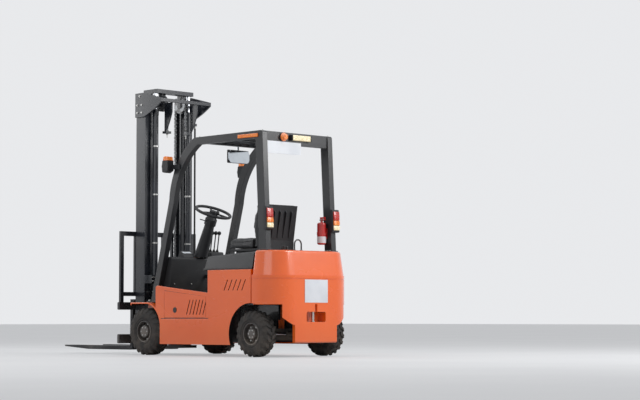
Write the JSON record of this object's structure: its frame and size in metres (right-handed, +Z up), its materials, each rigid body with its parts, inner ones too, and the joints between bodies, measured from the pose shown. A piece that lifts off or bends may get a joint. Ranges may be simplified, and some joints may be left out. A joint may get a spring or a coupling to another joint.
{
  "type": "four-wheel electric counterbalance forklift truck, 2.0 t class",
  "caption": "Electric counterbalance forklift with two-stage lifting and tilting mast, forks, rear-wheel steering, overhead guard, opening hood with seat and cast counterweight.",
  "frame": {"origin": "on the floor, under the middle of the whole truck's box, forks included", "axes": "+X forward towards the fork tips, +Y to the driver's left, +Z up"},
  "size_m": [3.3574, 1.075, 2.63],
  "materials": {
    "body_orange": "satin",
    "black_paint": "semi gloss",
    "mast_paint": "semi gloss",
    "black_plastic": "moulded",
    "floor_rubber": "matte",
    "tyre_rubber": "matte",
    "rim_paint": "satin",
    "axle_paint": "painted",
    "rod_chrome": "polished",
    "chain_steel": "oiled",
    "fork_steel": "worn",
    "pin_steel": "zinc plated",
    "seat_vinyl": "matte",
    "lens_amber": "glossy",
    "lens_red": "glossy",
    "lens_bright": "glossy",
    "mirror_glass": "polished",
    "extinguisher_red": "glossy",
    "plate_white": "smooth",
    "battery_case": "matte",
    "hose_rubber": "matte"
  },
  "bodies": {
    "truck": {"chassis": "body_orange", "body_side_left": "body_orange", "body_side_right": "body_orange", "side_cover_left": "body_orange", "side_cover_right": "body_orange", "side_caps": "black_plastic", "floor_mat": "floor_rubber", "front_cowl": "black_plastic", "battery": "battery_case", "counterweight": "body_orange", "tow_pin": "pin_steel", "rear_handle": "black_paint", "number_plate": "plate_white", "guard_frame": "black_paint", "roof_bars": "black_paint", "rear_panel": "plate_white", "front_lamps": "black_plastic", "turn_lamps": "lens_amber", "rear_lamps": "black_plastic", "rear_lenses": "lens_red", "mirror": "mirror_glass", "beacon": "lens_amber", "work_lamp": "lens_bright", "extinguisher": "extinguisher_red", "steering_column": "black_plastic", "levers": "black_plastic", "pedals": "black_paint", "drive_axle": "axle_paint", "steer_axle": "axle_paint"},
    "lid": {"hood": "black_plastic", "seat_pan": "black_plastic", "seat_cushion": "seat_vinyl", "seat_back": "seat_vinyl"},
    "handwheel": {"steering_wheel": "black_plastic"},
    "steer_rod_body": {"steer_rod": "rod_chrome"},
    "steer_left": {"knuckle_left": "axle_paint"},
    "steer_right": {"knuckle_right": "axle_paint"},
    "wheel_front_left": {"tyre_front_left": "tyre_rubber", "rim_front_left": "rim_paint"},
    "wheel_front_right": {"tyre_front_right": "tyre_rubber", "rim_front_right": "rim_paint"},
    "wheel_rear_left": {"tyre_rear_left": "tyre_rubber", "rim_rear_left": "rim_paint"},
    "wheel_rear_right": {"tyre_rear_right": "tyre_rubber", "rim_rear_right": "rim_paint"},
    "mast": {"mast_outer": "mast_paint", "mast_ties": "mast_paint", "lift_barrels": "mast_paint", "mast_hoses": "hose_rubber"},
    "inner": {"mast_inner": "mast_paint", "lift_rods": "rod_chrome", "chain_sheaves": "chain_steel", "lift_chains": "chain_steel"},
    "fork_carriage": {"carriage": "mast_paint", "load_backrest": "mast_paint", "fork_left": "fork_steel", "fork_right": "fork_steel"},
    "tilt_barrel_body": {"tilt_barrels": "mast_paint"},
    "tilt_rod_body": {"tilt_rods": "rod_chrome"}
  },
  "joints": [
    {"name": "mast_tilt", "type": "hinge", "parent": "truck", "child": "mast", "pos_m": [0.26465, 0, 0.2], "axis": [0, 1, 0], "range_deg": [-10, 6]},
    {"name": "mast_lift", "type": "slide", "parent": "mast", "child": "inner", "axis": [0, 0, 1], "range_m": [0, 2]},
    {"name": "carriage_lift", "type": "slide", "parent": "inner", "child": "fork_carriage", "axis": [0, 0, 1], "range_m": [0, 2]},
    {"name": "tilt_cylinder_swing", "type": "hinge", "parent": "truck", "child": "tilt_barrel_body", "pos_m": [-0.18535, 0, 0.4], "axis": [0, 1, 0], "range_deg": [-2.32, 1.39]},
    {"name": "tilt_cylinder_stroke", "type": "slide", "parent": "tilt_barrel_body", "child": "tilt_rod_body", "axis": [0.9894, 0, 0.1452], "range_m": [-0.04672, 0.02803]},
    {"name": "steer_left_turn", "type": "hinge", "parent": "truck", "child": "steer_left", "pos_m": [-1.34535, 0.33, 0.213], "axis": [0, 0, 1], "range_deg": [-55, 55]},
    {"name": "steer_right_turn", "type": "hinge", "parent": "truck", "child": "steer_right", "pos_m": [-1.34535, -0.33, 0.213], "axis": [0, 0, 1], "range_deg": [-55, 55]},
    {"name": "steer_rod_stroke", "type": "slide", "parent": "truck", "child": "steer_rod_body", "axis": [0, 1, 0], "range_m": [-0.05325, 0.05325]},
    {"name": "wheel_front_left_spin", "type": "hinge", "parent": "truck", "child": "wheel_front_left", "pos_m": [0.14465, 0.45, 0.229], "axis": [0, 1, 0], "continuous": true},
    {"name": "wheel_front_right_spin", "type": "hinge", "parent": "truck", "child": "wheel_front_right", "pos_m": [0.14465, -0.45, 0.229], "axis": [0, 1, 0], "continuous": true},
    {"name": "wheel_rear_left_spin", "type": "hinge", "parent": "steer_left", "child": "wheel_rear_left", "pos_m": [-1.34535, 0.45, 0.213], "axis": [0, 1, 0], "continuous": true},
    {"name": "wheel_rear_right_spin", "type": "hinge", "parent": "steer_right", "child": "wheel_rear_right", "pos_m": [-1.34535, -0.45, 0.213], "axis": [0, 1, 0], "continuous": true},
    {"name": "steering_wheel_turn", "type": "hinge", "parent": "truck", "child": "handwheel", "pos_m": [-0.26535, 0, 1.39], "axis": [-0.3798, 0, 0.9251], "continuous": true},
    {"name": "hood_lid", "type": "hinge", "parent": "truck", "child": "lid", "pos_m": [-1.35335, 0, 0.962], "axis": [0, -1, 0], "range_deg": [0, 60]}
  ],
  "couplings": [
    {"joint": "carriage_lift", "follows": "mast_lift", "ratio": 1},
    {"joint": "tilt_cylinder_swing", "follows": "mast_tilt", "ratio": 0.2316},
    {"joint": "tilt_cylinder_stroke", "follows": "mast_tilt", "m_per_rad": 0.26768},
    {"joint": "steer_right_turn", "follows": "steer_left_turn", "ratio": 1},
    {"joint": "steer_rod_stroke", "follows": "steer_left_turn", "m_per_rad": -0.055467}
  ]
}
